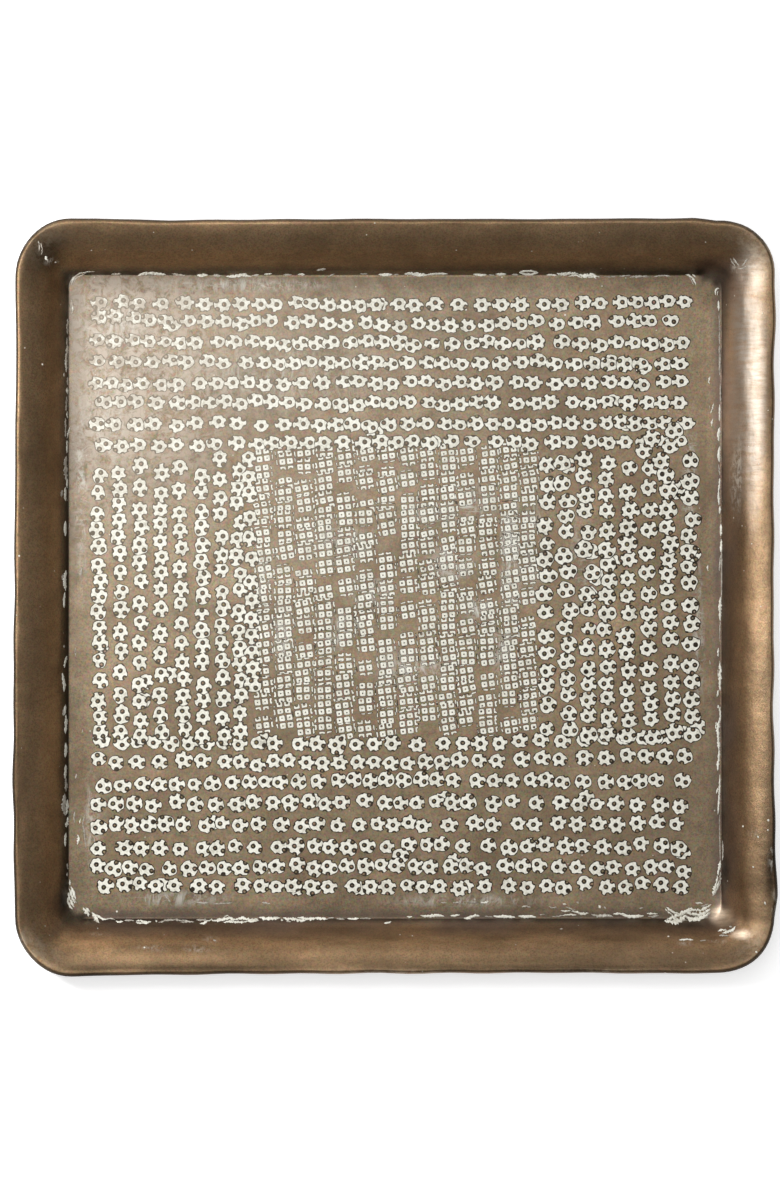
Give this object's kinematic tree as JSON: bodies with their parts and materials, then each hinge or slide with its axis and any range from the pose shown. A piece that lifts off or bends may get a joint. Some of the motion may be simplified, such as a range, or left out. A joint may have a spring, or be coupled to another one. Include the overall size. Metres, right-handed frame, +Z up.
{
  "type": "serving tray",
  "caption": "Square hand-hammered brass serving tray with a rolled rim and a floor struck in rows of white-filled rosettes round a waffle-grid centre.",
  "frame": {"origin": "centre of the underside of the floor, on the surface the tray stands on", "axes": "+Z up, +X to the right and +Y to the back as the tray is seen from above"},
  "size_m": [0.406, 0.404, 0.026],
  "materials": {
    "patinated_brass": "brown antique patina over hammered sheet, satin, rubbed brighter along the rim crest",
    "white_filler": "matt chalky off-white lime or enamel paste rubbed into the punched recesses and left in the crease, wiped flush"
  },
  "bodies": {
    "root": {"tray_body": "patinated_brass", "fill_back_row_1": "white_filler", "fill_back_row_2": "white_filler", "fill_back_row_3": "white_filler", "fill_back_row_4": "white_filler", "fill_back_row_5": "white_filler", "fill_back_row_6": "white_filler", "fill_back_row_7": "white_filler", "fill_back_row_8": "white_filler", "fill_front_row_1": "white_filler", "fill_front_row_2": "white_filler", "fill_front_row_3": "white_filler", "fill_front_row_4": "white_filler", "fill_front_row_5": "white_filler", "fill_front_row_6": "white_filler", "fill_front_row_7": "white_filler", "fill_front_row_8": "white_filler", "fill_left_column_1": "white_filler", "fill_left_column_2": "white_filler", "fill_left_column_3": "white_filler", "fill_left_column_4": "white_filler", "fill_left_column_5": "white_filler", "fill_left_column_6": "white_filler", "fill_left_column_7": "white_filler", "fill_left_column_8": "white_filler", "fill_right_column_1": "white_filler", "fill_right_column_2": "white_filler", "fill_right_column_3": "white_filler", "fill_right_column_4": "white_filler", "fill_right_column_5": "white_filler", "fill_right_column_6": "white_filler", "fill_right_column_7": "white_filler", "fill_right_column_8": "white_filler", "fill_grid_column_1": "white_filler", "fill_grid_column_2": "white_filler", "fill_grid_column_3": "white_filler", "fill_grid_column_4": "white_filler", "fill_grid_column_5": "white_filler", "fill_grid_column_6": "white_filler", "fill_grid_column_7": "white_filler", "fill_grid_column_8": "white_filler", "fill_grid_column_9": "white_filler", "fill_grid_column_10": "white_filler", "fill_grid_column_11": "white_filler", "fill_grid_column_12": "white_filler", "fill_grid_column_13": "white_filler", "fill_grid_column_14": "white_filler", "crease_fill_back": "white_filler", "crease_fill_front": "white_filler", "crease_fill_left": "white_filler", "crease_fill_right": "white_filler"}
  },
  "joints": []
}
